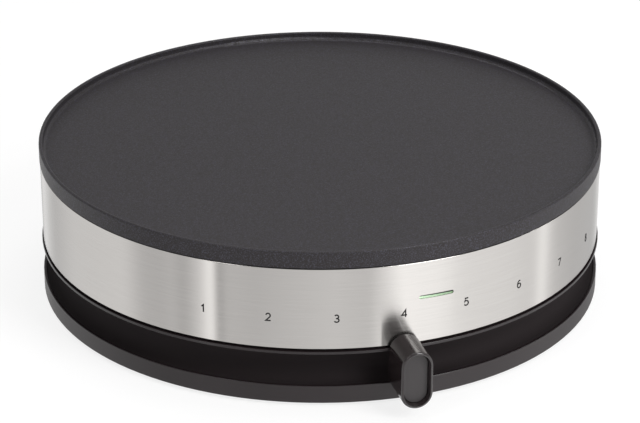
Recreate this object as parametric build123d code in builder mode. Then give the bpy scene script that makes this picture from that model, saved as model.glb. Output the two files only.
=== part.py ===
from build123d import *

import os
from math import asin, cos, degrees, pi, radians, sin, sqrt, tan

# Electric crepe maker: a round baking plate on a steel-sleeved body, over a base with a recess all
# round it, in which a lever on a steel arm turns the thermostat.
# Millimetres. The Z axis is the middle of the plate and z = 0 is the floor under the feet. The front
# faces -Y. An azimuth is an angle about +Z from the front: 0 is -Y and 90 is +X.

os.makedirs("parts", exist_ok=True)

# ---- sizes: the outside, from the floor up

foot_projection = 2.0
ring_height = 10.6
recess_height = 19.3
lip_height = 3.2
band_height = 47.7
band_to_griddle = 0.6
griddle_height = 9.8

body_radius = 165.0
griddle_overhang = 0.3
lip_overhang = 0.8
ring_overhang = 0.7

# ---- sizes: clearances

fit_gap = 0.1
thread_gap = 0.05
running_gap = 0.05
face_gap = 0.2
hole_gap = 0.2

# ---- sizes: griddle plate

griddle_rim_width = 2.3
griddle_dish_depth = 4.8
griddle_plate_thickness = 4.4
griddle_skirt_width = 4.8
griddle_outer_round = 0.9
griddle_inner_round = 0.8
griddle_cove = 2.0
griddle_bottom_round = 0.3

# ---- sizes: body

band_thickness = 0.6
band_edge_round = 0.35
band_seam = 0.4
housing_wall = 2.8
housing_top_gap = 1.0
lip_face_height = 1.7
lip_groove_depth = 1.4
lip_round = 0.3
flange_thickness = 2.5
flange_margin = 1.5
pillar_radius = 7.5
pillar_inset = 21.5
pillar_rib = 3.0
pillar_rib_height = 26.0
pillar_seat_depth = 18.0
rib_overlap = 1.0
screw_boss_radius = 4.75
screw_boss_inset = 9.0
screw_boss_height = 13.6
screw_boss_hole_depth = 14.0

# ---- sizes: base

ring_wall = 2.8
ring_land = 1.4
ring_step = 0.8
ring_top_round = 0.5
recess_depth = 13.2
recess_cove = 9.0
shell_thickness = 2.5
cover_thickness = 2.5
cover_inset = 1.5
cover_well_radius = 6.5
cover_well_height = 6.5
vent_length = 24.0
vent_width = 3.0
vent_count = 16
vent_inset = 52.0
foot_radius = 10.0
foot_stem_radius = 3.0
foot_bulb_radius = 4.2
foot_bulb_height = 3.0
foot_round = 1.0
foot_inset = 22.9
foot_azimuths = (40.0, 140.0, -140.0, -40.0)
base_screw_azimuths = (62.0, 115.0, 165.0, -165.0, -115.0, -62.0)

# ---- sizes: lever

lever_steps = 8
lever_step_angle = 12.9
lever_rest_step = 4
lever_back_gap = 0.6
lever_reach = 23.3
lever_width = 17.9
lever_length = 34.1
lever_rise = -2.55
lever_edge_round = 1.3
lever_back_round = 0.8
lever_bead = 0.15
lever_slope_width = 0.7
lever_slope_depth = 3.0
lever_face_depth = 4.9
lever_face_inset = 3.2
lever_face_round = 0.2
neck_width = 8.5
neck_height = 8.0
neck_rise = 15.5
neck_wall_gap = 1.5
neck_round = 1.0
slot_side_gap = 1.2
slot_height_gap = 0.6
arm_thickness = 1.6
arm_width = 12.0
arm_tail = 9.0
arm_shoulder_gap = 12.0
tongue_width = 6.0
tongue_depth = 12.0
knob_screw_inset = 6.0

# ---- sizes: spindle and hub

spindle_radius = 3.0
spindle_bottom_gap = 0.5
spindle_top_depth = 1.4
spindle_end_gap = 1.0
hub_radius = 9.0
hub_height = 6.5
hub_collar_radius = 5.0
hub_collar_height = 4.0
hub_screw_length = 5.0
arm_screw_spacing = 13.6
bush_radius = 5.0
bush_boss_wall = 2.0
bush_height = 8.0

# ---- sizes: heating

element_radius = 4.0
element_inset = 60.0
element_centre_depth = 4.5
element_end_azimuth = 165.0
element_bend = 12.0
element_drop = 12.5
channel_wall = 2.0
channel_height = 7.0
channel_open_angle = 17.5
pin_radius = 1.75
pin_length = 8.0
clip_boss_radius = 4.5
clip_boss_gap = 2.4
clip_width = 12.0
clip_thickness = 1.2
clip_inner_margin = 5.5
clip_outer_margin = 8.0
reflector_margin = 16.0
reflector_thickness = 0.8
reflector_rim = 6.0
reflector_opening = 26.0
reflector_depth = 16.0
reflector_boss_inset = 45.0
reflector_pin_hole = 6.5
plate_boss_height = 12.0
spacer_height = 4.0

# ---- sizes: thermostat and fuse

sensor_boss_radius = 15.0
sensor_boss_height = 6.0
bracket_length = 62.0
bracket_width = 20.0
bracket_thickness = 1.2
bracket_screw_spacing = 54.0
thermostat_length = 42.0
thermostat_height = 14.0
thermostat_bush_radius = 4.5
thermostat_bush_height = 6.8
tab_spacing = 34.0
tab_width = 6.3
tab_thickness = 0.8
tab_length = 9.0
fuse_radius = 2.0
fuse_length = 12.0
fuse_wire_radius = 0.6
fuse_wire_reach = 3.0
fuse_wire_drop = 10.0
fuse_offset = 20.0
fuse_boss_offset = 28.0
fuse_clip_thickness = 1.0

# ---- sizes: light

light_length = 20.3
light_height = 2.0
light_rise = 26.6
lens_recess = 0.5
lens_flange_length = 25.0
lens_flange_height = 6.0
lens_flange_thickness = 2.6
lamp_radius = 2.5
lamp_length = 16.0
holder_width = 30.0
holder_depth = 10.0
holder_height = 14.0
holder_wall = 2.0
holder_leg = 3.0
holder_foot_length = 12.0
holder_foot_thickness = 2.0
holder_screw_spacing = 18.0

# ---- sizes: supply

gland_bore_radius = 3.55
gland_body_radius = 5.0
gland_flange_radius = 6.1
gland_flange_thickness = 2.5
gland_nose_radius = 4.8
gland_nose_length = 4.0
gland_rise = 13.8
block_length = 34.0
block_width = 18.0
block_height = 15.0
block_pad_height = 2.0
block_inset = 46.0
block_pole_spacing = 11.0
block_screw_spacing = 11.0
connector_length = 9.5
connector_wall = 1.2
connector_end = 3.4
pin_connector_radius = 3.5
tag_radius = 4.5
tag_thickness = 0.8
tag_tongue_width = 5.0
tag_tongue_offset = 6.9
tag_tongue_drop = 10.4

# ---- sizes: wiring, with the points (x, y, z) that the leads pass on their way

lead_radius = 1.2
lamp_lead_radius = 0.8
lead_side = 1.7
lead_rise = 6.0
lead_pin_run = 16.0
lamp_lead_spread = 4.0
lamp_lead_margin = 7.0
lamp_lead_fall = 30.0
supply_lead_bow = (-11.5, -24.0, 48.0)
supply_lead_pass = (-10.0, 46.0, 49.0)
live_lead_pass = (10.5, 20.0, 33.0)
switched_lead_passes = ((-18.0, 22.0, 27.0), (-21.0, 56.0, 29.0))
switched_lead_floor = 26.0
earth_lead_deck = 40.0
lamp_lead_deck = 54.0
lamp_lead_1_passes = ((-12.0, -62.0, 43.0), (-16.5, -27.0, 32.0))
lamp_lead_2_passes = ((20.0, -66.0, 44.0), (28.0, -24.0, 36.0), (28.0, 20.0, 33.0), (25.0, 60.0, 31.0))

# ---- sizes: screws, as (shank radius, head radius, head height), and how far each reaches into its hole

screw_m15 = (0.75, 1.6, 1.2)
screw_m3 = (1.5, 2.8, 1.8)
screw_m4 = (2.0, 3.6, 2.4)
screw_m5 = (2.5, 4.4, 3.2)
clip_screw_reach = 4.3
knob_screw_length = 6.6
arm_screw_length = 4.6
holder_screw_reach = 2.0
block_screw_reach = 1.5
bracket_screw_reach = 4.8
reflector_screw_length = 9.0
plate_screw_reach = 7.0
housing_screw_reach = 12.1
screw_hole_end_gap = 1.0
screw_well_gap = 0.8
cross_recess_width = 0.8
cross_recess_span = 1.3

# ---- heights and radii that follow

ring_bottom = foot_projection
ring_top = ring_bottom + ring_height
lip_bottom = ring_top + recess_height
band_bottom = lip_bottom + lip_height
band_top = band_bottom + band_height
griddle_bottom = band_top + band_to_griddle
griddle_top = griddle_bottom + griddle_height
griddle_surface = griddle_top - griddle_dish_depth
griddle_underside = griddle_surface - griddle_plate_thickness

griddle_radius = body_radius + griddle_overhang
lip_radius = body_radius + lip_overhang
ring_radius = body_radius + ring_overhang
housing_outer = body_radius - band_thickness - fit_gap
housing_inner = housing_outer - housing_wall
housing_top = griddle_bottom - housing_top_gap
flange_top = lip_bottom + flange_thickness
plate_screw_circle = housing_inner - pillar_inset
flange_inner = plate_screw_circle - pillar_radius - flange_margin

ring_inner = ring_radius - ring_wall
recess_floor = ring_top - ring_step
recess_wall_outer = ring_radius - recess_depth
recess_wall_inner = recess_wall_outer - shell_thickness
cover_bottom = ring_bottom + cover_inset
cover_top = cover_bottom + cover_thickness
well_top = cover_bottom + cover_well_height
cover_radius = ring_inner - 3 * fit_gap
base_screw_circle = recess_wall_inner - screw_boss_inset
foot_circle = ring_inner - foot_inset
vent_circle = foot_circle - vent_inset

element_circle = body_radius - element_inset
clip_boss_circle = (
    element_circle - element_radius - fit_gap - channel_wall - clip_boss_gap - clip_boss_radius
)
reflector_radius = element_circle + element_radius + reflector_margin
reflector_boss_circle = element_circle - reflector_boss_inset
channel_bottom = griddle_underside - channel_height
element_height = griddle_underside - element_centre_depth
clip_seat = element_height - element_radius
reflector_top = griddle_underside - reflector_depth
plate_boss_bottom = griddle_underside - plate_boss_height
pillar_top = plate_boss_bottom - spacer_height
pillar_screw_seat = pillar_top - pillar_seat_depth
sensor_boss_bottom = griddle_underside - sensor_boss_height
bracket_bottom = sensor_boss_bottom - bracket_thickness
thermostat_bottom = bracket_bottom - thermostat_height
thermostat_bush_bottom = thermostat_bottom - thermostat_bush_height
tab_bottom = thermostat_bottom - tab_length
fuse_height = griddle_underside - fuse_radius
fuse_clip_seat = fuse_height - fuse_radius

lever_rest = (lever_rest_step - (lever_steps + 1) / 2) * lever_step_angle
lever_travel = (lever_steps - 1) / 2 * lever_step_angle
lever_back = lip_radius + lever_back_gap
lever_front = lever_back + lever_reach
neck_inner = recess_wall_outer + neck_wall_gap
knob_screw_circle = neck_inner + knob_screw_inset
arm_shoulder = recess_wall_inner - arm_shoulder_gap
tongue_end = lever_back + tongue_depth
neck_centre_height = recess_floor + neck_rise
lever_centre_height = neck_centre_height + lever_rise
neck_bottom = neck_centre_height - neck_height / 2
arm_bottom = neck_centre_height - arm_thickness / 2
arm_top = neck_centre_height + arm_thickness / 2
hub_bottom = arm_bottom - hub_height
spindle_bottom = cover_top + spindle_bottom_gap
spindle_top = thermostat_bottom + spindle_top_depth
slot_angle = lever_travel + degrees(asin((tongue_width / 2 + slot_side_gap) / recess_wall_inner))

pin_offset = element_circle * sin(radians(element_end_azimuth)) + element_bend * cos(
    radians(element_end_azimuth)
)
pin_back = -element_circle * cos(radians(element_end_azimuth)) + element_bend * sin(
    radians(element_end_azimuth)
)
pin_top = element_height - element_bend - element_drop
pin_bottom = pin_top - pin_length
pin_connector_bottom = pin_bottom - connector_end
tab_connector_bottom = tab_bottom - connector_end
block_offset = recess_wall_inner - block_inset
block_bottom = cover_top + block_pad_height
block_top = block_bottom + block_height

light_centre_height = band_bottom + light_rise
lens_back = housing_inner - fit_gap - lens_flange_thickness
lens_front = body_radius - lens_recess
holder_front = sqrt(lens_back**2 - (lens_flange_length / 2) ** 2) - fit_gap
holder_back = holder_front - holder_depth
holder_bottom = light_centre_height - holder_height / 2
holder_foot_inner = holder_back + holder_leg - holder_foot_length
holder_screw_row = (holder_foot_inner + holder_back) / 2

gland_height = recess_floor + gland_rise

clip_screw_length = clip_thickness + clip_screw_reach
bracket_screw_length = bracket_thickness + bracket_screw_reach
plate_screw_length = pillar_seat_depth + spacer_height + plate_screw_reach
holder_screw_length = holder_foot_thickness + holder_screw_reach
block_screw_length = block_height + block_screw_reach
housing_screw_length = lip_bottom + housing_screw_reach - (well_top - cover_thickness)

BELOW = (Align.CENTER, Align.CENTER, Align.MAX)
ABOVE = (Align.CENTER, Align.CENTER, Align.MIN)


def spot(radius, azimuth, height=0.0):
    """The point at a radius, an azimuth and a height."""
    return (radius * sin(radians(azimuth)), -radius * cos(radians(azimuth)), height)


def outward(azimuth, radius, height):
    """A plane square to the radius at an azimuth: its x runs to a greater azimuth and its y up."""
    facing = spot(1.0, azimuth)
    return Plane(origin=spot(radius, azimuth, height), x_dir=(-facing[1], facing[0], 0), z_dir=facing)


def corner(sketch, radius, height):
    """The vertex of a profile at a radius and a height."""
    return sketch.vertices().sort_by_distance((radius, height))[0]


def screw(size, length):
    """A pan head screw at each location in use: its head hangs below the seat, its shank stands up."""
    shank, head, head_height = size
    Cylinder(shank, length, align=ABOVE)
    Cylinder(head, head_height, align=BELOW)
    with Locations((0, 0, -head_height)):
        Box(cross_recess_span * head, cross_recess_width, head_height, mode=Mode.SUBTRACT)
        Box(cross_recess_width, cross_recess_span * head, head_height, mode=Mode.SUBTRACT)


def bend_radii(points):
    """The bend radius at each inner point of a route: as large as its two runs allow."""
    radii = []
    for before, at, after in zip(points, points[1:], points[2:]):
        arriving = Vector(*at) - Vector(*before)
        leaving = Vector(*after) - Vector(*at)
        half_turn = radians(arriving.get_angle(leaving)) / 2
        radii.append(0.45 * min(arriving.length, leaving.length) / tan(half_turn))
    return radii


def lead(node, radius, points):
    """A wire of straight runs joined by tangent arcs, written as one node."""
    radii = bend_radii(points)
    with BuildPart() as wire:
        with BuildLine() as route:
            FilletPolyline(*points, radius=radii)
        with BuildSketch(Plane(origin=route.line @ 0, z_dir=route.line % 0)):
            Circle(radius)
        sweep()
    wire.part.label = node
    export_step(wire.part, f"parts/{node}.step")
    expected = pi * radius**2 * route.wire().length
    print(node, "bend radii", [round(r, 1) for r in radii])
    print(node, "volume over section times length", round(wire.part.volume / expected, 4))


# ---- griddle plate: dished disc with a raised rim, and under it the bosses and the element channel

thermostat_spots = [(-bracket_screw_spacing / 2, 0, 0), (bracket_screw_spacing / 2, 0, 0)]

with BuildPart() as griddle_plate:
    with BuildSketch(Plane.XZ) as griddle_profile:
        with BuildLine():
            Polyline(
                (0, griddle_underside),
                (griddle_radius - griddle_skirt_width, griddle_underside),
                (griddle_radius - griddle_skirt_width, griddle_bottom),
                (griddle_radius, griddle_bottom),
                (griddle_radius, griddle_top),
                (griddle_radius - griddle_rim_width, griddle_top),
                (griddle_radius - griddle_rim_width, griddle_surface),
                (0, griddle_surface),
                close=True,
            )
        make_face()
        fillet(corner(griddle_profile, griddle_radius, griddle_top), griddle_outer_round)
        fillet(corner(griddle_profile, griddle_radius - griddle_rim_width, griddle_top), griddle_inner_round)
        fillet(corner(griddle_profile, griddle_radius - griddle_rim_width, griddle_surface), griddle_cove)
        fillet(corner(griddle_profile, griddle_radius, griddle_bottom), griddle_bottom_round)
    revolve(axis=Axis.Z)
    # element channel, open at the back where the element's ends turn down
    with BuildSketch(Plane.XY.offset(channel_bottom)):
        Circle(element_circle + element_radius + fit_gap + channel_wall)
        Circle(element_circle - element_radius - fit_gap - channel_wall, mode=Mode.SUBTRACT)
        Polygon(
            (0, 0),
            spot(2 * element_circle, 180 - channel_open_angle)[:2],
            spot(2 * element_circle, 180 + channel_open_angle)[:2],
            align=None,
            mode=Mode.SUBTRACT,
        )
    extrude(amount=channel_height)
    with BuildSketch(Plane.XZ):
        with Locations((element_circle, element_height)):
            Circle(element_radius + fit_gap)
        with Locations((element_circle, element_height - element_radius)):
            Rectangle(2 * (element_radius + fit_gap), 2 * element_radius)
    revolve(axis=Axis.Z, mode=Mode.SUBTRACT)
    # bosses
    with BuildSketch(Plane.XY.offset(sensor_boss_bottom)):
        Circle(sensor_boss_radius)
        with Locations(*thermostat_spots):
            Circle(clip_boss_radius)
    extrude(amount=sensor_boss_height)
    with BuildSketch(Plane.XY.offset(plate_boss_bottom)):
        with PolarLocations(plate_screw_circle, 4, 45):
            Circle(pillar_radius)
    extrude(amount=plate_boss_height)
    with BuildSketch(Plane.XY.offset(reflector_top)):
        with PolarLocations(reflector_boss_circle, 3, 90):
            Circle(clip_boss_radius)
    extrude(amount=reflector_depth)
    with BuildSketch(Plane.XY.offset(clip_seat)):
        with PolarLocations(clip_boss_circle, 4, 45):
            Circle(clip_boss_radius)
    extrude(amount=griddle_underside - clip_seat)
    with BuildSketch(Plane.XY.offset(fuse_clip_seat)):
        with Locations((0, fuse_boss_offset)):
            Circle(clip_boss_radius)
    extrude(amount=2 * fuse_radius)
    # tapped holes, from below
    with BuildSketch(Plane.XY.offset(plate_boss_bottom)):
        with PolarLocations(plate_screw_circle, 4, 45):
            Circle(screw_m5[0] + thread_gap)
    extrude(amount=plate_screw_reach + screw_hole_end_gap, mode=Mode.SUBTRACT)
    with BuildSketch(Plane.XY.offset(reflector_top)):
        with PolarLocations(reflector_boss_circle, 3, 90):
            Circle(screw_m4[0] + thread_gap)
    extrude(amount=reflector_screw_length, mode=Mode.SUBTRACT)
    with BuildSketch(Plane.XY.offset(clip_seat)):
        with PolarLocations(clip_boss_circle, 4, 45):
            Circle(screw_m4[0] + thread_gap)
    extrude(amount=clip_screw_length, mode=Mode.SUBTRACT)
    with BuildSketch(Plane.XY.offset(fuse_clip_seat)):
        with Locations((0, fuse_boss_offset)):
            Circle(screw_m4[0] + thread_gap)
    extrude(amount=clip_screw_length, mode=Mode.SUBTRACT)
    with BuildSketch(Plane.XY.offset(sensor_boss_bottom)):
        with Locations(*thermostat_spots):
            Circle(screw_m4[0] + thread_gap)
    extrude(amount=bracket_screw_length, mode=Mode.SUBTRACT)
griddle_plate.part.label = "griddle_plate"
export_step(griddle_plate.part, "parts/griddle_plate.step")

# ---- heating element: a ring of tube, open at the back, whose two ends turn down

half_end = spot(element_circle, element_end_azimuth, element_height)
end_heading = Vector(cos(radians(element_end_azimuth)), sin(radians(element_end_azimuth)), 0)
turned_down = Vector(*half_end) + end_heading * element_bend - Vector(0, 0, element_bend)

with BuildPart() as heating_element:
    with BuildLine() as element_route:
        CenterArc((0, 0, element_height), element_circle, -90, element_end_azimuth)
        TangentArc(half_end, turned_down, tangent=end_heading)
        Line(turned_down, turned_down - Vector(0, 0, element_drop))
    with BuildSketch(Plane(origin=spot(element_circle, 0, element_height), z_dir=(1, 0, 0))):
        Circle(element_radius)
    sweep(path=element_route.line)
    mirror(about=Plane.YZ)
heating_element.part.label = "heating_element"
export_step(heating_element.part, "parts/heating_element.step")

with BuildPart(Plane.XY.offset(pin_bottom)) as element_pins:
    with Locations((-pin_offset, pin_back), (pin_offset, pin_back)):
        Cylinder(pin_radius, pin_length, align=ABOVE)
element_pins.part.label = "element_pins"
export_step(element_pins.part, "parts/element_pins.step")

# ---- straps that hold the element up in its channel

clip_inner = clip_boss_circle - clip_inner_margin
clip_outer = element_circle + clip_outer_margin

for number, azimuth in enumerate((45, 135, 225, 315), start=1):
    with BuildPart() as element_clip:
        with BuildSketch(Plane.XY.offset(clip_seat - clip_thickness)) as clip_outline:
            with Locations((0, -(clip_inner + clip_outer) / 2)):
                Rectangle(clip_width, clip_outer - clip_inner)
            fillet(clip_outline.vertices(), clip_width / 6)
            with Locations((0, -clip_boss_circle)):
                Circle(screw_m4[0] + hole_gap, mode=Mode.SUBTRACT)
        extrude(amount=clip_thickness)
    element_clip.part.locate(Location((0, 0, 0), (0, 0, azimuth)))
    element_clip.part.label = f"element_clip_{number}"
    export_step(element_clip.part, f"parts/element_clip_{number}.step")

with BuildPart() as fuse_clip:
    with BuildSketch(Plane.XY.offset(fuse_clip_seat - fuse_clip_thickness)) as fuse_clip_outline:
        with Locations((0, (fuse_offset + fuse_boss_offset) / 2)):
            Rectangle(2 * clip_boss_radius, fuse_boss_offset - fuse_offset + 2 * clip_boss_radius)
        fillet(fuse_clip_outline.vertices(), clip_boss_radius / 2)
        with Locations((0, fuse_boss_offset)):
            Circle(screw_m4[0] + hole_gap, mode=Mode.SUBTRACT)
    extrude(amount=fuse_clip_thickness)
fuse_clip.part.label = "fuse_clip"
export_step(fuse_clip.part, "parts/fuse_clip.step")

with BuildPart() as clip_screws:
    with Locations(Plane.XY.offset(clip_seat - clip_thickness)):
        with PolarLocations(clip_boss_circle, 4, 45):
            screw(screw_m4, clip_screw_length)
    with Locations((0, fuse_boss_offset, fuse_clip_seat - fuse_clip_thickness)):
        screw(screw_m4, clip_screw_length)
clip_screws.part.label = "clip_screws"
export_step(clip_screws.part, "parts/clip_screws.step")

# ---- thermal fuse, against the plate's underside, with its two wires turned down

with BuildPart() as thermal_fuse:
    with BuildSketch(Plane.YZ.offset(-fuse_length / 2)):
        with Locations((fuse_offset, fuse_height)):
            Circle(fuse_radius)
    extrude(amount=fuse_length)
    with BuildLine() as fuse_wire:
        FilletPolyline(
            (fuse_length / 2, fuse_offset, fuse_height),
            (fuse_length / 2 + fuse_wire_reach, fuse_offset, fuse_height),
            (fuse_length / 2 + fuse_wire_reach, fuse_offset, fuse_height - fuse_wire_drop),
            radius=2.5 * fuse_wire_radius,
        )
    with BuildSketch(Plane.YZ.offset(fuse_length / 2)):
        with Locations((fuse_offset, fuse_height)):
            Circle(fuse_wire_radius)
    sweep(path=fuse_wire.line)
    mirror(about=Plane.YZ)
thermal_fuse.part.label = "thermal_fuse"
export_step(thermal_fuse.part, "parts/thermal_fuse.step")

# ---- heat reflector: a shallow steel dish under the element

with BuildPart() as heat_reflector:
    with BuildSketch(Plane.XY.offset(reflector_top - reflector_thickness)):
        Circle(reflector_radius)
    extrude(amount=reflector_rim)
    with BuildSketch(Plane.XY.offset(reflector_top)):
        Circle(reflector_radius - reflector_thickness)
    extrude(amount=reflector_rim, mode=Mode.SUBTRACT)
    with BuildSketch(Plane.XY.offset(reflector_top)):
        Circle(reflector_opening)
        with Locations((-pin_offset, pin_back), (pin_offset, pin_back)):
            Circle(reflector_pin_hole)
        with PolarLocations(reflector_boss_circle, 3, 90):
            Circle(screw_m4[0] + hole_gap)
    extrude(amount=-reflector_thickness, mode=Mode.SUBTRACT)
heat_reflector.part.label = "heat_reflector"
export_step(heat_reflector.part, "parts/heat_reflector.step")

with BuildPart() as reflector_screws:
    with Locations(
        spot(reflector_boss_circle, 60, reflector_top - reflector_thickness),
        spot(reflector_boss_circle, -60, reflector_top - reflector_thickness),
        spot(reflector_boss_circle, 180, reflector_top - reflector_thickness - tag_thickness),
    ):
        screw(screw_m4, reflector_screw_length)
reflector_screws.part.label = "reflector_screws"
export_step(reflector_screws.part, "parts/reflector_screws.step")

with BuildPart() as earth_tag:
    with BuildSketch(Plane.XY.offset(reflector_top - reflector_thickness - tag_thickness)):
        with Locations((0, reflector_boss_circle)):
            Circle(tag_radius)
        with Locations((0, reflector_boss_circle + tag_tongue_offset / 2 + tag_thickness / 4)):
            Rectangle(tag_tongue_width, tag_tongue_offset + tag_thickness / 2)
        with Locations((0, reflector_boss_circle)):
            Circle(screw_m4[0] + hole_gap, mode=Mode.SUBTRACT)
    extrude(amount=tag_thickness)
    with BuildSketch(Plane.XY.offset(reflector_top - reflector_thickness)):
        with Locations((0, reflector_boss_circle + tag_tongue_offset)):
            Rectangle(tag_tongue_width, tag_thickness)
    extrude(amount=-tag_tongue_drop)
earth_tag.part.label = "earth_tag"
export_step(earth_tag.part, "parts/earth_tag.step")

# ---- insulating spacers and long screws between the housing's pillars and the plate

for number, azimuth in enumerate((45, 135, 225, 315), start=1):
    with BuildPart() as plate_spacer:
        with BuildSketch(Plane.XY.offset(pillar_top)):
            with Locations(spot(plate_screw_circle, azimuth)):
                Circle(pillar_radius)
                Circle(screw_m5[0] + hole_gap, mode=Mode.SUBTRACT)
        extrude(amount=spacer_height)
    plate_spacer.part.label = f"plate_spacer_{number}"
    export_step(plate_spacer.part, f"parts/plate_spacer_{number}.step")

with BuildPart(Plane.XY.offset(pillar_screw_seat)) as plate_screws:
    with PolarLocations(plate_screw_circle, 4, 45):
        screw(screw_m5, plate_screw_length)
plate_screws.part.label = "plate_screws"
export_step(plate_screws.part, "parts/plate_screws.step")

# ---- thermostat: bracket against the plate, ceramic body, bush for the spindle, two tabs

with BuildPart() as thermostat_bracket:
    with BuildSketch(Plane.XY.offset(bracket_bottom)) as bracket_outline:
        SlotOverall(bracket_length, bracket_width)
        with Locations(*thermostat_spots):
            Circle(screw_m4[0] + hole_gap, mode=Mode.SUBTRACT)
    extrude(amount=bracket_thickness)
thermostat_bracket.part.label = "thermostat_bracket"
export_step(thermostat_bracket.part, "parts/thermostat_bracket.step")

with BuildPart() as thermostat_body:
    with BuildSketch(Plane.XY.offset(thermostat_bottom)) as thermostat_outline:
        Rectangle(thermostat_length, bracket_width)
        fillet(thermostat_outline.vertices(), bracket_width / 8)
    extrude(amount=thermostat_height)
    with BuildSketch(Plane.XY.offset(thermostat_bottom)):
        Circle(spindle_radius + hole_gap)
    extrude(amount=spindle_top_depth + spindle_end_gap, mode=Mode.SUBTRACT)
thermostat_body.part.label = "thermostat_body"
export_step(thermostat_body.part, "parts/thermostat_body.step")

with BuildPart() as thermostat_tabs:
    with BuildSketch(Plane.XY.offset(tab_bottom)):
        with Locations((-tab_spacing / 2, 0), (tab_spacing / 2, 0)):
            Rectangle(tab_thickness, tab_width)
    extrude(amount=tab_length)
thermostat_tabs.part.label = "thermostat_tabs"
export_step(thermostat_tabs.part, "parts/thermostat_tabs.step")

with BuildPart() as thermostat_bush:
    with BuildSketch(Plane.XY.offset(thermostat_bush_bottom)):
        Circle(thermostat_bush_radius)
        Circle(spindle_radius + running_gap, mode=Mode.SUBTRACT)
    extrude(amount=thermostat_bush_height)
thermostat_bush.part.label = "thermostat_bush"
export_step(thermostat_bush.part, "parts/thermostat_bush.step")

with BuildPart(Plane.XY.offset(bracket_bottom)) as thermostat_screws:
    with Locations(*thermostat_spots):
        screw(screw_m4, bracket_screw_length)
thermostat_screws.part.label = "thermostat_screws"
export_step(thermostat_screws.part, "parts/thermostat_screws.step")

# ---- spindle, hub and arm

with BuildPart() as thermostat_spindle:
    with BuildSketch(Plane.XY.offset(spindle_bottom)):
        Circle(spindle_radius)
    extrude(amount=spindle_top - spindle_bottom)
thermostat_spindle.part.label = "thermostat_spindle"
export_step(thermostat_spindle.part, "parts/thermostat_spindle.step")

with BuildPart() as arm_hub:
    with BuildSketch(Plane.XY.offset(hub_bottom)):
        Circle(hub_radius)
    extrude(amount=hub_height)
    with BuildSketch(Plane.XY.offset(arm_bottom)):
        Circle(hub_collar_radius)
    extrude(amount=hub_collar_height)
    with BuildSketch(Plane.XY.offset(hub_bottom)):
        Circle(spindle_radius + thread_gap)
    extrude(amount=hub_height + hub_collar_height, mode=Mode.SUBTRACT)
    with BuildSketch(outward(lever_rest + 180, hub_radius, hub_bottom + hub_height / 2)):
        Circle(screw_m3[0] + thread_gap)
    extrude(amount=-(hub_radius - spindle_radius / 2), mode=Mode.SUBTRACT)
    with BuildSketch(Plane.XY.offset(arm_bottom)):
        with Locations(
            spot(arm_screw_spacing / 2, lever_rest + 90), spot(arm_screw_spacing / 2, lever_rest - 90)
        ):
            Circle(screw_m15[0] + thread_gap)
    extrude(amount=-(arm_screw_length - arm_thickness), mode=Mode.SUBTRACT)
arm_hub.part.label = "arm_hub"
export_step(arm_hub.part, "parts/arm_hub.step")

with BuildPart() as hub_screw:
    with BuildSketch(outward(lever_rest + 180, hub_radius, hub_bottom + hub_height / 2)):
        Circle(screw_m3[0])
    extrude(amount=-hub_screw_length)
hub_screw.part.label = "hub_screw"
export_step(hub_screw.part, "parts/hub_screw.step")

with BuildPart() as lever_arm:
    with BuildSketch(Plane.XY.offset(arm_bottom)):
        with Locations((0, -arm_shoulder / 2)):
            Rectangle(arm_width, arm_shoulder)
        with Locations((0, -(arm_shoulder + tongue_end) / 2)):
            Rectangle(tongue_width, tongue_end - arm_shoulder)
        Circle(arm_tail)
        Circle(hub_collar_radius + thread_gap, mode=Mode.SUBTRACT)
        with Locations((arm_screw_spacing / 2, 0), (-arm_screw_spacing / 2, 0)):
            Circle(screw_m15[0] + hole_gap, mode=Mode.SUBTRACT)
        with Locations((0, -knob_screw_circle)):
            Circle(screw_m3[0] + thread_gap, mode=Mode.SUBTRACT)
    extrude(amount=arm_thickness)
lever_arm.part.locate(Location((0, 0, 0), (0, 0, lever_rest)))
lever_arm.part.label = "lever_arm"
export_step(lever_arm.part, "parts/lever_arm.step")

with BuildPart() as arm_screws:
    with Locations(
        Plane(origin=spot(arm_screw_spacing / 2, lever_rest + 90, arm_top), z_dir=(0, 0, -1)),
        Plane(origin=spot(arm_screw_spacing / 2, lever_rest - 90, arm_top), z_dir=(0, 0, -1)),
    ):
        screw(screw_m15, arm_screw_length)
arm_screws.part.label = "arm_screws"
export_step(arm_screws.part, "parts/arm_screws.step")

# ---- lever knob: an upright oval head in front of the body, dished at its front, and its neck into
# the base

pocket_width = lever_width - 2 * (lever_edge_round + lever_bead + lever_slope_width)
pocket_length = lever_length - 2 * (lever_edge_round + lever_bead + lever_slope_width)
lever_direction = Axis(origin=(0, 0, 0), direction=spot(1, lever_rest))

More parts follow.
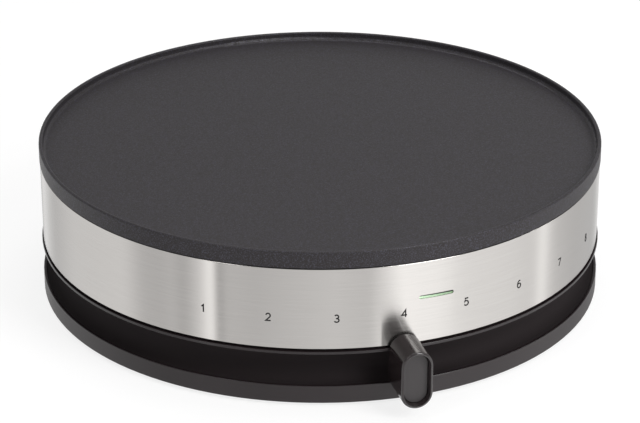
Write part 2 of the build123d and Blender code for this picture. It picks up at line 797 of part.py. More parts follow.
with BuildPart() as lever_knob:
    with BuildSketch(outward(lever_rest, lever_back, lever_centre_height)):
        SlotOverall(lever_length, lever_width, rotation=90)
    extrude(amount=lever_reach)
    fillet(lever_knob.faces().sort_by(lever_direction)[-1].edges(), lever_edge_round)
    fillet(lever_knob.faces().sort_by(lever_direction)[0].edges(), lever_back_round)
    with BuildSketch(outward(lever_rest, lever_front, lever_centre_height)):
        SlotOverall(pocket_length, pocket_width, rotation=90)
    extrude(amount=-lever_face_depth, mode=Mode.SUBTRACT)
    front_rim = lever_knob.faces().sort_by(lever_direction)[-1]
    pocket_edges = front_rim.inner_wires()[0].edges()
    chamfer(pocket_edges, lever_slope_width, lever_slope_depth, reference=front_rim)
    with BuildSketch(outward(lever_rest, neck_inner, neck_centre_height)) as neck_outline:
        Rectangle(neck_width, neck_height)
        fillet(neck_outline.vertices(), neck_round)
    extrude(amount=lever_back - neck_inner + lever_back_round)
    with BuildSketch(outward(lever_rest, neck_inner, neck_centre_height)):
        Rectangle(tongue_width + 2 * fit_gap, arm_thickness + 2 * fit_gap)
    extrude(amount=tongue_end + fit_gap - neck_inner, mode=Mode.SUBTRACT)
    with BuildSketch(Plane.XY.offset(neck_bottom)):
        with Locations(spot(knob_screw_circle, lever_rest)):
            Circle(screw_m3[0] + thread_gap)
    extrude(amount=knob_screw_length, mode=Mode.SUBTRACT)
lever_knob.part.label = "lever_knob"
export_step(lever_knob.part, "parts/lever_knob.step")

with BuildPart() as lever_face:
    with BuildSketch(outward(lever_rest, lever_front - lever_face_depth, lever_centre_height)):
        SlotOverall(pocket_length - 2 * face_gap, pocket_width - 2 * face_gap, rotation=90)
    extrude(amount=lever_face_depth - lever_face_inset)
    fillet(lever_face.faces().sort_by(lever_direction)[-1].edges(), lever_face_round)
lever_face.part.label = "lever_face"
export_step(lever_face.part, "parts/lever_face.step")

with BuildPart(Plane(spot(knob_screw_circle, lever_rest, neck_bottom))) as knob_screw:
    screw(screw_m3, knob_screw_length)
knob_screw.part.label = "knob_screw"
export_step(knob_screw.part, "parts/knob_screw.step")

# ---- steel band: a thin sleeve round the housing, with the light's slot and a seam at the back

with BuildPart() as steel_band:
    with BuildSketch(Plane.XY.offset(band_bottom)):
        Circle(body_radius)
        Circle(body_radius - band_thickness, mode=Mode.SUBTRACT)
        with Locations((0, body_radius)):
            Rectangle(band_seam, 4 * band_thickness, mode=Mode.SUBTRACT)
    extrude(amount=band_height)
    top_edges = steel_band.edges().group_by(Axis.Z)[-1].filter_by(GeomType.CIRCLE)
    fillet(top_edges.group_by(SortBy.RADIUS)[-1], band_edge_round)
    with BuildSketch(outward(0, lens_back, light_centre_height)):
        SlotOverall(light_length + 2 * fit_gap, light_height + 2 * fit_gap)
    extrude(amount=2 * (body_radius - lens_back), mode=Mode.SUBTRACT)
steel_band.part.label = "steel_band"
export_step(steel_band.part, "parts/steel_band.step")

holder_screw_spots = [(side * holder_screw_spacing / 2, -holder_screw_row) for side in (-1, 1)]

# ---- upper housing: wall behind the band, lip below it, inner flange with pillars and screw bosses

with BuildPart() as upper_housing:
    with BuildSketch(Plane.XZ) as housing_profile:
        with BuildLine():
            Polyline(
                (flange_inner, lip_bottom),
                (lip_radius, lip_bottom),
                (lip_radius, lip_bottom + lip_face_height),
                (housing_outer - lip_groove_depth, lip_bottom + lip_face_height),
                (housing_outer - lip_groove_depth, band_bottom),
                (housing_outer, band_bottom),
                (housing_outer, housing_top),
                (housing_inner, housing_top),
                (housing_inner, flange_top),
                (flange_inner, flange_top),
                close=True,
            )
        make_face()
        fillet(corner(housing_profile, lip_radius, lip_bottom), lip_round)
        fillet(corner(housing_profile, lip_radius, lip_bottom + lip_face_height), lip_round)
    revolve(axis=Axis.Z)
    with BuildSketch(Plane.XY.offset(lip_bottom)):
        with PolarLocations(plate_screw_circle, 4, 45):
            Circle(pillar_radius)
    extrude(amount=pillar_top - lip_bottom)
    with BuildSketch(Plane.XY.offset(flange_top)):
        with PolarLocations((plate_screw_circle + housing_inner) / 2 + pillar_radius / 2, 4, 45):
            Rectangle(housing_inner - plate_screw_circle - pillar_radius + rib_overlap, pillar_rib)
    extrude(amount=pillar_rib_height)
    with BuildSketch(Plane.XY.offset(lip_bottom)):
        with Locations(*[spot(base_screw_circle, azimuth) for azimuth in base_screw_azimuths]):
            Circle(screw_boss_radius)
    extrude(amount=flange_thickness + screw_boss_height)
    with BuildSketch(Plane.XY.offset(lip_bottom)):
        with Locations(*[spot(base_screw_circle, azimuth) for azimuth in base_screw_azimuths]):
            Circle(screw_m4[0] + thread_gap)
    extrude(amount=screw_boss_hole_depth, mode=Mode.SUBTRACT)
    with BuildSketch(Plane.XY.offset(lip_bottom)):
        with PolarLocations(plate_screw_circle, 4, 45):
            Circle(screw_m5[1] + screw_well_gap)
    extrude(amount=pillar_screw_seat - lip_bottom, mode=Mode.SUBTRACT)
    with BuildSketch(Plane.XY.offset(pillar_screw_seat)):
        with PolarLocations(plate_screw_circle, 4, 45):
            Circle(screw_m5[0] + hole_gap)
    extrude(amount=pillar_top - pillar_screw_seat, mode=Mode.SUBTRACT)
    with BuildSketch(outward(0, lens_back, light_centre_height)):
        SlotOverall(light_length + 2 * fit_gap, light_height + 2 * fit_gap)
    extrude(amount=2 * (body_radius - lens_back), mode=Mode.SUBTRACT)
    with BuildSketch(Plane.XY.offset(flange_top)):
        with Locations(*holder_screw_spots):
            Circle(screw_m3[0] + thread_gap)
    extrude(amount=-flange_thickness, mode=Mode.SUBTRACT)
upper_housing.part.label = "upper_housing"
export_step(upper_housing.part, "parts/upper_housing.step")

# ---- light: lens in the slot, lamp behind it, and the holder that stands on the flange

with BuildPart() as indicator_lens:
    with BuildSketch(outward(0, lens_back, light_centre_height)):
        SlotOverall(light_length, light_height)
    extrude(amount=2 * (body_radius - lens_back))
    with BuildSketch(Plane.XY.offset(light_centre_height - light_height)):
        Circle(lens_front)
        Circle(housing_inner - 2 * fit_gap, mode=Mode.SUBTRACT)
    extrude(amount=2 * light_height, mode=Mode.INTERSECT)
    with BuildSketch(Plane.XY.offset(light_centre_height - lens_flange_height / 2)):
        Circle(housing_inner - fit_gap)
        Circle(lens_back, mode=Mode.SUBTRACT)
        with Locations((0, -body_radius)):
            Rectangle(lens_flange_length, body_radius, mode=Mode.INTERSECT)
    extrude(amount=lens_flange_height)
indicator_lens.part.label = "indicator_lens"
export_step(indicator_lens.part, "parts/indicator_lens.step")

cavity_height = 2 * (lamp_radius + fit_gap)

with BuildPart() as lamp_holder:
    with BuildSketch(Plane.XY.offset(holder_bottom)):
        with Locations((0, -(holder_back + holder_front) / 2)):
            Rectangle(holder_width, holder_depth)
    extrude(amount=holder_height)
    with BuildSketch(Plane.XY.offset(light_centre_height - cavity_height / 2)):
        with Locations((0, -(holder_back + holder_wall + holder_front) / 2)):
            Rectangle(lamp_length + 2 * holder_wall, holder_depth - holder_wall)
    extrude(amount=cavity_height, mode=Mode.SUBTRACT)
    with BuildSketch(Plane.XY.offset(flange_top)):
        with Locations((0, -(holder_back + holder_leg / 2))):
            Rectangle(holder_width, holder_leg)
    extrude(amount=holder_bottom - flange_top)
    with BuildSketch(Plane.XY.offset(flange_top)):
        with Locations((0, -(holder_foot_inner + holder_foot_length / 2))):
            Rectangle(holder_width, holder_foot_length)
        with Locations(*holder_screw_spots):
            Circle(screw_m3[0] + hole_gap, mode=Mode.SUBTRACT)
    extrude(amount=holder_foot_thickness)
lamp_holder.part.label = "lamp_holder"
export_step(lamp_holder.part, "parts/lamp_holder.step")

with BuildPart(Plane.YZ) as indicator_lamp:
    with Locations((-(holder_back + holder_wall + lamp_radius + fit_gap), light_centre_height)):
        Cylinder(lamp_radius, lamp_length)
    fillet(indicator_lamp.edges().filter_by(GeomType.CIRCLE), 0.8 * lamp_radius)
indicator_lamp.part.label = "indicator_lamp"
export_step(indicator_lamp.part, "parts/indicator_lamp.step")

holder_foot_top = flange_top + holder_foot_thickness

with BuildPart() as lamp_holder_screws:
    with Locations(
        *[Plane(origin=(x, y, holder_foot_top), z_dir=(0, 0, -1)) for x, y in holder_screw_spots]
    ):
        screw(screw_m3, holder_screw_length)
lamp_holder_screws.part.label = "lamp_holder_screws"
export_step(lamp_holder_screws.part, "parts/lamp_holder_screws.step")

# ---- base ring: outer ring, recess floor, and recess wall with the slot that the lever's arm runs in

with BuildPart() as base_ring:
    with BuildSketch(Plane.XZ) as ring_profile:
        with BuildLine():
            Polyline(
                (ring_radius, ring_bottom),
                (ring_radius, ring_top),
                (ring_radius - ring_land, ring_top),
                (ring_radius - ring_land, recess_floor),
                (recess_wall_outer, recess_floor),
                (recess_wall_outer, lip_bottom),
                (recess_wall_inner, lip_bottom),
                (recess_wall_inner, recess_floor - shell_thickness),
                (ring_inner, recess_floor - shell_thickness),
                (ring_inner, ring_bottom),
                close=True,
            )
        make_face()
        fillet(corner(ring_profile, recess_wall_outer, recess_floor), recess_cove)
        fillet(
            corner(ring_profile, recess_wall_inner, recess_floor - shell_thickness),
            recess_cove + shell_thickness,
        )
        fillet(corner(ring_profile, ring_radius, ring_top), ring_top_round)
        fillet(corner(ring_profile, ring_radius, ring_bottom), ring_top_round)
    revolve(axis=Axis.Z)
    with BuildSketch(Plane.XY.offset(arm_bottom - slot_height_gap)):
        Circle(recess_wall_outer + shell_thickness)
        Circle(recess_wall_inner - shell_thickness, mode=Mode.SUBTRACT)
        Polygon(
            (0, 0),
            spot(2 * body_radius, -slot_angle)[:2],
            spot(2 * body_radius, slot_angle)[:2],
            align=None,
            mode=Mode.INTERSECT,
        )
    extrude(amount=arm_thickness + 2 * slot_height_gap, mode=Mode.SUBTRACT)
    # screw posts, each tied to the wall by a rib
    with BuildSketch(Plane.XY.offset(well_top)):
        with Locations(*[spot(base_screw_circle, azimuth) for azimuth in base_screw_azimuths]):
            Circle(screw_boss_radius)
    extrude(amount=lip_bottom - well_top)
    with BuildSketch(Plane.XY.offset(recess_floor + recess_cove)):
        for azimuth in base_screw_azimuths:
            with Locations(Location(spot((base_screw_circle + recess_wall_inner) / 2, azimuth), azimuth)):
                Rectangle(pillar_rib, recess_wall_inner - base_screw_circle + rib_overlap)
    extrude(amount=lip_bottom - recess_floor - recess_cove)
    with BuildSketch(Plane.XY.offset(well_top)):
        with Locations(*[spot(base_screw_circle, azimuth) for azimuth in base_screw_azimuths]):
            Circle(screw_m4[0] + hole_gap)
    extrude(amount=lip_bottom - well_top, mode=Mode.SUBTRACT)
    # hole for the cord gland
    with BuildSketch(outward(180, recess_wall_inner - shell_thickness, gland_height)):
        Circle(gland_body_radius + fit_gap)
    extrude(amount=3 * shell_thickness, mode=Mode.SUBTRACT)
base_ring.part.label = "base_ring"
export_step(base_ring.part, "parts/base_ring.step")

# ---- bottom cover: disc with screw wells, vents, foot holes, the spindle's lower boss, block pads

foot_spots = [spot(foot_circle, azimuth) for azimuth in foot_azimuths]
block_screw_spots = [(side * block_screw_spacing / 2, block_offset) for side in (-1, 1)]

with BuildPart() as bottom_cover:
    with BuildSketch(Plane.XY.offset(cover_bottom)):
        Circle(cover_radius)
        with Locations(*foot_spots):
            Circle(foot_stem_radius + fit_gap, mode=Mode.SUBTRACT)
        with PolarLocations(vent_circle, vent_count, 360 / vent_count / 2):
            SlotOverall(vent_length, vent_width, mode=Mode.SUBTRACT)
    extrude(amount=cover_thickness)
    with BuildSketch(Plane.XY.offset(cover_bottom)):
        with Locations(*[spot(base_screw_circle, azimuth) for azimuth in base_screw_azimuths]):
            Circle(cover_well_radius)
    extrude(amount=cover_well_height)
    with BuildSketch(Plane.XY.offset(cover_bottom)):
        with Locations(*[spot(base_screw_circle, azimuth) for azimuth in base_screw_azimuths]):
            Circle(screw_m4[1] + screw_well_gap)
    extrude(amount=cover_well_height - cover_thickness, mode=Mode.SUBTRACT)
    with BuildSketch(Plane.XY.offset(cover_bottom)):
        with Locations(*[spot(base_screw_circle, azimuth) for azimuth in base_screw_azimuths]):
            Circle(screw_m4[0] + hole_gap)
    extrude(amount=cover_well_height, mode=Mode.SUBTRACT)
    with BuildSketch(Plane.XY.offset(cover_top)):
        Circle(bush_radius + bush_boss_wall)
        Circle(bush_radius + fit_gap / 2, mode=Mode.SUBTRACT)
    extrude(amount=bush_height)
    with BuildSketch(Plane.XY.offset(cover_top)):
        with Locations(*block_screw_spots):
            Rectangle(block_length / 4, block_width)
    extrude(amount=block_pad_height)
    with BuildSketch(Plane.XY.offset(block_bottom)):
        with Locations(*block_screw_spots):
            Circle(screw_m3[0] + thread_gap)
    extrude(amount=-(cover_thickness + block_pad_height) / 2, mode=Mode.SUBTRACT)
bottom_cover.part.label = "bottom_cover"
export_step(bottom_cover.part, "parts/bottom_cover.step")

with BuildPart() as spindle_bush:
    with BuildSketch(Plane.XY.offset(cover_top)):
        Circle(bush_radius)
        Circle(spindle_radius + running_gap, mode=Mode.SUBTRACT)
    extrude(amount=bush_height)
spindle_bush.part.label = "spindle_bush"
export_step(spindle_bush.part, "parts/spindle_bush.step")

with BuildPart(Plane.XY.offset(well_top - cover_thickness)) as housing_screws:
    with Locations(*[spot(base_screw_circle, azimuth) for azimuth in base_screw_azimuths]):
        screw(screw_m4, housing_screw_length)
housing_screws.part.label = "housing_screws"
export_step(housing_screws.part, "parts/housing_screws.step")

for number, place in enumerate(foot_spots, start=1):
    with BuildPart() as foot:
        with BuildSketch(Plane.XZ) as foot_profile:
            with BuildLine():
                Polyline(
                    (0, 0),
                    (foot_radius, 0),
                    (foot_radius, cover_bottom),
                    (foot_stem_radius, cover_bottom),
                    (foot_stem_radius, cover_top),
                    (foot_bulb_radius, cover_top),
                    (foot_stem_radius, cover_top + foot_bulb_height),
                    (0, cover_top + foot_bulb_height),
                    close=True,
                )
            make_face()
            fillet(corner(foot_profile, foot_radius, 0), foot_round)
        revolve(axis=Axis.Z)
    foot.part.locate(Location(place))
    foot.part.label = f"foot_{number}"
    export_step(foot.part, f"parts/foot_{number}.step")

# ---- cord gland in the back of the recess wall: flange outside, body through, nut inside

wall_sag = recess_wall_inner - sqrt(recess_wall_inner**2 - gland_flange_radius**2)

with BuildPart() as cord_gland:
    with BuildSketch(outward(180, recess_wall_outer + 2 * fit_gap, gland_height)):
        Circle(gland_flange_radius)
    extrude(amount=gland_flange_thickness)
    with BuildSketch(outward(180, recess_wall_inner - wall_sag - fit_gap / 2, gland_height)):
        Circle(gland_flange_radius)
    extrude(amount=-gland_flange_thickness)
    with BuildSketch(outward(180, recess_wall_inner - wall_sag - fit_gap, gland_height)):
        Circle(gland_body_radius)
    extrude(amount=shell_thickness + wall_sag + 2 * fit_gap)
    with BuildSketch(outward(180, recess_wall_outer, gland_height)):
        Circle(gland_nose_radius)
    extrude(amount=gland_flange_thickness + gland_nose_length)
    gland_nose = cord_gland.faces().sort_by(Axis.Y)[-1]
    fillet(gland_nose.outer_wire().edges(), (gland_nose_radius - gland_bore_radius) / 2)
    with BuildSketch(outward(180, recess_wall_inner - 2 * gland_flange_thickness, gland_height)):
        Circle(gland_bore_radius)
    extrude(amount=2 * recess_depth, mode=Mode.SUBTRACT)
cord_gland.part.label = "cord_gland"
export_step(cord_gland.part, "parts/cord_gland.step")

# ---- terminal block and connectors

with BuildPart() as terminal_block:
    with BuildSketch(Plane.XY.offset(block_bottom)) as block_outline:
        with Locations((0, block_offset)):
            Rectangle(block_length, block_width)
        fillet(block_outline.vertices(), block_width / 12)
    extrude(amount=block_height)
    with BuildSketch(Plane.XY.offset(block_top)):
        with Locations((0, block_offset - block_width / 2), (0, block_offset + block_width / 2)):
            Rectangle(block_length, block_width / 3)
    extrude(amount=-block_height / 3, mode=Mode.SUBTRACT)
    with BuildSketch(Plane.XY.offset(block_bottom)):
        with Locations(*block_screw_spots):
            Circle(screw_m3[0] + hole_gap)
    extrude(amount=block_height, mode=Mode.SUBTRACT)
terminal_block.part.label = "terminal_block"
export_step(terminal_block.part, "parts/terminal_block.step")

with BuildPart() as block_screws:
    with Locations(*[Plane(origin=(x, y, block_top), z_dir=(0, 0, -1)) for x, y in block_screw_spots]):
        screw(screw_m3, block_screw_length)
block_screws.part.label = "block_screws"
export_step(block_screws.part, "parts/block_screws.step")

with BuildPart() as spade_connectors:
    with BuildSketch(Plane.XY.offset(tab_connector_bottom)):
        with Locations((-tab_spacing / 2, 0), (tab_spacing / 2, 0)):
            Rectangle(tab_thickness + 2 * connector_wall, tab_width + 2 * connector_wall)
    extrude(amount=connector_length)
    with BuildSketch(Plane.XY.offset(tab_bottom - fit_gap)):
        with Locations((-tab_spacing / 2, 0), (tab_spacing / 2, 0)):
            Rectangle(tab_thickness + 2 * thread_gap, tab_width + 2 * thread_gap)
    extrude(amount=connector_length, mode=Mode.SUBTRACT)
    with BuildSketch(Plane.XY.offset(pin_connector_bottom)):
        with Locations((-pin_offset, pin_back), (pin_offset, pin_back)):
            Circle(pin_connector_radius)
    extrude(amount=connector_length)
    with BuildSketch(Plane.XY.offset(pin_bottom - fit_gap)):
        with Locations((-pin_offset, pin_back), (pin_offset, pin_back)):
            Circle(pin_radius + thread_gap)
    extrude(amount=connector_length, mode=Mode.SUBTRACT)
spade_connectors.part.label = "spade_connectors"
export_step(spade_connectors.part, "parts/spade_connectors.step")

# ---- internal wiring, each lead from one terminal's face to another's

fuse_wire_x = fuse_length / 2 + fuse_wire_reach
fuse_wire_end = fuse_height - fuse_wire_drop
tag_row = reflector_boss_circle + tag_tongue_offset
tag_end = reflector_top - reflector_thickness - tag_tongue_drop
tab_x = tab_spacing / 2
pin_row = pin_back - lead_pin_run
lamp_lead_turn = reflector_radius + lamp_lead_margin
lamp_lead_dip = lamp_lead_turn - lamp_lead_fall

lead(
    "supply_lead",
    lead_radius,
    [
        (-block_pole_spacing, block_offset, block_top),
        (-block_pole_spacing, block_offset, block_top + 2.5 * lead_rise),
        (supply_lead_bow[0], block_offset + supply_lead_bow[1], supply_lead_bow[2]),
        supply_lead_pass,
        (-fuse_wire_x, fuse_offset, fuse_wire_end - 3 * lead_rise),
        (-fuse_wire_x, fuse_offset, fuse_wire_end),
    ],
)
lead(
    "live_lead",
    lead_radius,
    [
        (fuse_wire_x, fuse_offset, fuse_wire_end),
        (fuse_wire_x, fuse_offset, fuse_wire_end - 3 * lead_rise),
        live_lead_pass,
        (tab_x, lead_side, tab_connector_bottom - lead_rise),
        (tab_x, lead_side, tab_connector_bottom),
    ],
)
lead(
    "switched_lead",
    lead_radius,
    [
        (-tab_x, lead_side, tab_connector_bottom),
        (-tab_x, lead_side, tab_connector_bottom - lead_rise),
        *switched_lead_passes,
        (-pin_offset - 2 * lead_side, pin_row, switched_lead_floor),
        (-pin_offset, pin_back, pin_connector_bottom - lead_rise),
        (-pin_offset, pin_back, pin_connector_bottom),
    ],
)
lead(
    "neutral_lead",
    lead_radius,
    [
        (block_pole_spacing, block_offset, block_top),
        (block_pole_spacing, block_offset, block_top + lead_rise),
        (pin_offset - lead_side, pin_back, pin_connector_bottom - lead_rise),
        (pin_offset - lead_side, pin_back, pin_connector_bottom),
    ],
)
lead(
    "earth_lead",
    lead_radius,
    [
        (0, block_offset, block_top),
        (0, block_offset, block_top + 1.5 * lead_rise),
        (lead_side, block_offset - 1.5 * lead_rise, earth_lead_deck),
        (lead_side, tag_row + 1.5 * lead_rise, earth_lead_deck),
        (0, tag_row, tag_end - 1.5 * lead_rise),
        (0, tag_row, tag_end),
    ],
)
lead(
    "lamp_lead_1",
    lamp_lead_radius,
    [
        (-lamp_lead_spread, -holder_back, light_centre_height),
        (-lamp_lead_spread, -lamp_lead_turn, light_centre_height),
        (-2 * lamp_lead_spread, -lamp_lead_dip, lamp_lead_deck),
        *lamp_lead_1_passes,
        (-tab_x, -lead_side, tab_connector_bottom - lead_rise),
        (-tab_x, -lead_side, tab_connector_bottom),
    ],
)
lead(
    "lamp_lead_2",
    lamp_lead_radius,
    [
        (lamp_lead_spread, -holder_back, light_centre_height),
        (lamp_lead_spread, -lamp_lead_turn, light_centre_height),
        (2 * lamp_lead_spread, -lamp_lead_dip, lamp_lead_deck),
        *lamp_lead_2_passes,
        (pin_offset + 2 * lead_side, pin_row, switched_lead_floor + lead_side),
        (pin_offset + lead_side, pin_back, pin_connector_bottom - lead_rise),
        (pin_offset + lead_side, pin_back, pin_connector_bottom),
    ],
)
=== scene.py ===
from math import cos, pi, radians, sin

import bmesh
import bpy
from bpy.props import FloatProperty, FloatVectorProperty, PointerProperty
from bpy.types import Operator, Panel, PropertyGroup
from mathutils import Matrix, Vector


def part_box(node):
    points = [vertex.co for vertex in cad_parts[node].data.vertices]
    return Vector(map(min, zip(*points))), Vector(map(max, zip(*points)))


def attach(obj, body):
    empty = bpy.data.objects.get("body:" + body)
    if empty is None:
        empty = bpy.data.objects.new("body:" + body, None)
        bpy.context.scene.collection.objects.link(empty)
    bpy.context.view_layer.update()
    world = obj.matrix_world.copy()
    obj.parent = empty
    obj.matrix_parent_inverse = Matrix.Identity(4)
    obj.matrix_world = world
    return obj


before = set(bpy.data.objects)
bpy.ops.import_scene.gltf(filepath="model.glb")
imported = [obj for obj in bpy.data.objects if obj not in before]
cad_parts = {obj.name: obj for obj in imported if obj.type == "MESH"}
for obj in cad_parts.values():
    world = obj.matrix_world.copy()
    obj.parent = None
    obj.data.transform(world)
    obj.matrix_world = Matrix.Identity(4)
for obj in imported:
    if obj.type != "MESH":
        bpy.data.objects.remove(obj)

bl_info = {
    "name": "Electric crepe maker",
    "version": (1, 0, 0),
    "blender": (4, 5, 0),
    "location": "3D View > Sidebar > Crepe maker",
    "description": "Gives the pieces of an electric crepe maker their finishes, numerals and studio",
    "category": "Object",
}

# Metres. +Z is up, the front faces -Y, and an azimuth is an angle about +Z from the front towards +X.

BAND_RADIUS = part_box("steel_band")[1][0]
RING_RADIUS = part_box("base_ring")[1][0]
LENS_LOW, LENS_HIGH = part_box("indicator_lens")
# The housing's mould is blasted inside this radius, and there its colour is darkened as painted shade.
# Outside it, it is polished above this height.
BLASTED_AND_SHADED_RADIUS = RING_RADIUS - 0.0016
POLISHED_HEIGHT = 0.0121
BLASTED_ROUGHNESS = 0.85
POLISHED_ROUGHNESS = 0.22

WHITE = (1.0, 1.0, 1.0, 1.0)
# A grain's marks keep almost wholly between these values.
MARKS_LOW, MARKS_HIGH = 0.3, 0.7
# Sockets of the Mix node share their names, so they are told apart by their place.
FACTOR, VALUE_A, VALUE_B, COLOUR_A, COLOUR_B = 0, 2, 3, 6, 7
COLOUR_RESULT = 2


def spot(radius, azimuth, height=0.0):
    """The point at a radius, an azimuth and a height."""
    return Vector((radius * sin(azimuth), -radius * cos(azimuth), height))


def linear(hex_colour):
    """The linear red, green and blue of an sRGB hex colour."""
    parts = [int(hex_colour[i : i + 2], 16) / 255 for i in (1, 3, 5)]
    return tuple(p / 12.92 if p <= 0.04045 else ((p + 0.055) / 1.055) ** 2.4 for p in parts)


def shade(name, note, hex_colour):
    """A colour property with its default."""
    return FloatVectorProperty(
        name=name, description=note, subtype="COLOR", size=3, min=0, max=1, default=linear(hex_colour)
    )


def length(name, note, default):
    """A length property with its default, in metres."""
    return FloatProperty(name=name, description=note, default=default, min=0, unit="LENGTH", precision=5)


def angle(name, note, degrees):
    """An angle property with its default, given in degrees."""
    return FloatProperty(name=name, description=note, default=radians(degrees), subtype="ANGLE")


class CrepeMakerSizes(PropertyGroup):
    """Sizes of what is printed on the band, and of the studio."""

    numeral_height: length("Numeral height", "Height of a printed numeral", 0.0051)
    numeral_width: length("Numeral width", "Width of a printed numeral", 0.0037)
    numeral_stroke: length("Numeral stroke", "Width of the printed line", 0.00078)
    numeral_centre: length("Numeral centre", "Height of the numerals' middle above the floor", 0.0534)
    numeral_step: angle("Numeral step", "Angle between two numerals round the band", 12.9)
    ink_lift: length("Ink lift", "How far the ink stands off the band", 0.00003)
    camera_azimuth: angle("Camera azimuth", "Where the camera stands, from the front", -22.5)
    camera_pitch: angle("Camera pitch", "How far the camera looks down", 24.8)
    camera_radius: length("Camera radius", "Distance of the camera from the middle, on the floor", 1.3881)
    camera_height: length("Camera height", "Height of the camera above the floor", 0.6822)
    camera_lens: FloatProperty(name="Lens", description="Focal length", default=143.7, min=10, unit="CAMERA")
    floor_width: length("Floor width", "Side of the square floor", 12.0)


class CrepeMakerColours(PropertyGroup):
    """Colours of the finishes that show."""

    coat: shade("Non-stick coat", "Coat of the baking plate", "#302d2d")
    coat_fleck: shade("Coat fleck", "Mineral fleck in the non-stick coat", "#63616f")
    steel: shade("Band", "Brushed stainless steel", "#c2bfbc")
    body: shade("Body", "Moulded housing and base", "#231b1d")
    # Painted shade: the body's colour drawn darker for the recess, where little light reaches.
    recess: shade("Recess", "The housing's plastic inside the recess", "#15090c")
    cover: shade("Cover", "Moulded cover under the base", "#1f1d1e")
    knob: shade("Knob", "Moulded lever knob", "#292223")
    face: shade("Knob face", "Inset face of the knob", "#383435")
    ink: shade("Ink", "Printed numerals", "#141313")
    # Painted glow: the lit and dull parts draw the lamp's light into the guide's colour.
    lens_lit: shade("Light, lit part", "Light guide where the lamp shows through", "#d8f6d2")
    lens_dull: shade("Light, dull part", "Light guide away from the lamp", "#7c9f74")
    # Painted shadow: the guide drawn deep green under the upper edge of its slot.
    lens_painted_shadow: shade("Light, deep part", "Light guide under the upper edge of its slot", "#0e240a")
    rubber: shade("Rubber", "Feet and cord gland", "#191818")
    floor: shade("Floor", "Studio floor", "#f2f2f2")


def add(tree, kind, inputs=None, **settings):
    """Adds a node with its settings. An input gets a value, or a link if it is given a socket or a node.

    A node stands for its first output.
    """
    node = tree.nodes.new(kind)
    for name, value in settings.items():
        setattr(node, name, value)
    for name, value in (inputs or {}).items():
        if isinstance(value, bpy.types.Node):
            value = value.outputs[0]
        if isinstance(value, bpy.types.NodeSocket):
            tree.links.new(value, node.inputs[name])
        else:
            node.inputs[name].default_value = value
    return node


def new_material(name):
    """An empty material and its node tree."""
    material = bpy.data.materials.new(name)
    material.use_nodes = True
    material.node_tree.nodes.clear()
    return material, material.node_tree


def surface(material, inputs):
    """Ends a material in one Principled shader with these inputs, and gives it back."""
    shader = add(material.node_tree, "ShaderNodeBsdfPrincipled", inputs)
    add(material.node_tree, "ShaderNodeOutputMaterial", {"Surface": shader})
    return material


def rgba(colour, share=1.0):
    """A colour, darkened or lightened by a share, with full alpha."""
    return (*(min(1.0, part * share) for part in colour), 1.0)


def grain(tree, size, detail=2.0, stretch=(1.0, 1.0, 1.0)):
    """Marks in the object's own coordinates that have a size in metres, times a stretch along each axis."""
    place = add(tree, "ShaderNodeTexCoord").outputs["Object"]
    scale = tuple(1 / (size * part) for part in stretch)
    mapped = add(tree, "ShaderNodeMapping", {"Vector": place, "Scale": scale})
    return add(tree, "ShaderNodeTexNoise", {"Vector": mapped, "Scale": 1.0, "Detail": detail})


def swing(tree, marks, low, high):
    """A value that a grain's marks swing from low to high."""
    inputs = {"Value": marks, "From Min": MARKS_LOW, "From Max": MARKS_HIGH, "To Min": low, "To Max": high}
    return add(tree, "ShaderNodeMapRange", inputs)


def tint(tree, marks, colour, dark, light):
    """A colour that a grain's marks swing between two shares of its brightness."""
    share = swing(tree, marks, 0.0, 1.0)
    inputs = {FACTOR: share, COLOUR_A: rgba(colour, dark), COLOUR_B: rgba(colour, light)}
    return add(tree, "ShaderNodeMix", inputs, data_type="RGBA").outputs[COLOUR_RESULT]


def formed_skin(tree, colour, roughness, grit, depth, ior):
    """Shader inputs of a plastic, rubber or ceramic: the grit of its skin breaks the gloss up."""
    marks = grain(tree, grit)
    # As it flows into shape, it is left with pale and dark clouds about 30 mm across.
    clouds = grain(tree, 0.03, detail=3.0)
    return {
        "Base Color": tint(tree, clouds, colour, 0.92, 1.1),
        "Roughness": swing(tree, marks, roughness - 0.04, roughness + 0.04),
        "IOR": ior,
        "Normal": add(tree, "ShaderNodeBump", {"Height": marks, "Distance": depth, "Strength": 1.0}),
    }


def moulded(name, colour, roughness, grit, depth, ior=1.5):
    """A moulded or extruded material that is the same all over. Its grit has a size and depth in metres."""
    material, tree = new_material(name)
    return surface(material, formed_skin(tree, colour, roughness, grit, depth, ior))


def metal(name, colour, roughness, mark, depth):
    """A plain metal: drawn, stamped or turned marks of a size and depth in metres vary its gloss."""
    material, tree = new_material(name)
    marks = grain(tree, mark, detail=4.0)
    return surface(
        material,
        {
            "Base Color": tint(tree, marks, colour, 0.85, 1.0),
            "Metallic": 1.0,
            "Roughness": swing(tree, marks, roughness - 0.06, roughness + 0.08),
            "Normal": add(tree, "ShaderNodeBump", {"Height": marks, "Distance": depth, "Strength": 1.0}),
        },
    )


def coated_cast_aluminium(colours):
    """Cast aluminium, grit-blasted and sprayed with a non-stick coat."""
    # The coat is near black and satin. The blasted casting under it leaves a fine orange peel, and
    # mineral flecks about 0.6 mm across give the rim a cool speckle.
    material, tree = new_material("Cast aluminium, sprayed non-stick coat")
    peel = grain(tree, 0.0012, detail=3.0)
    flecks = grain(tree, 0.0006, detail=1.0)
    mineral = add(
        tree, "ShaderNodeMapRange", {"Value": flecks, "From Min": 0.48, "From Max": 0.68, "To Max": 0.5}
    )
    speckled = add(
        tree,
        "ShaderNodeMix",
        {FACTOR: mineral, COLOUR_A: rgba(colours.coat), COLOUR_B: rgba(colours.coat_fleck)},
        data_type="RGBA",
    )
    return surface(
        material,
        {
            "Base Color": speckled.outputs[COLOUR_RESULT],
            "Metallic": mineral,
            "Roughness": swing(tree, peel, 0.36, 0.48),
            "IOR": 1.32,
            "Normal": add(tree, "ShaderNodeBump", {"Height": peel, "Distance": 0.00003, "Strength": 1.0}),
        },
    )


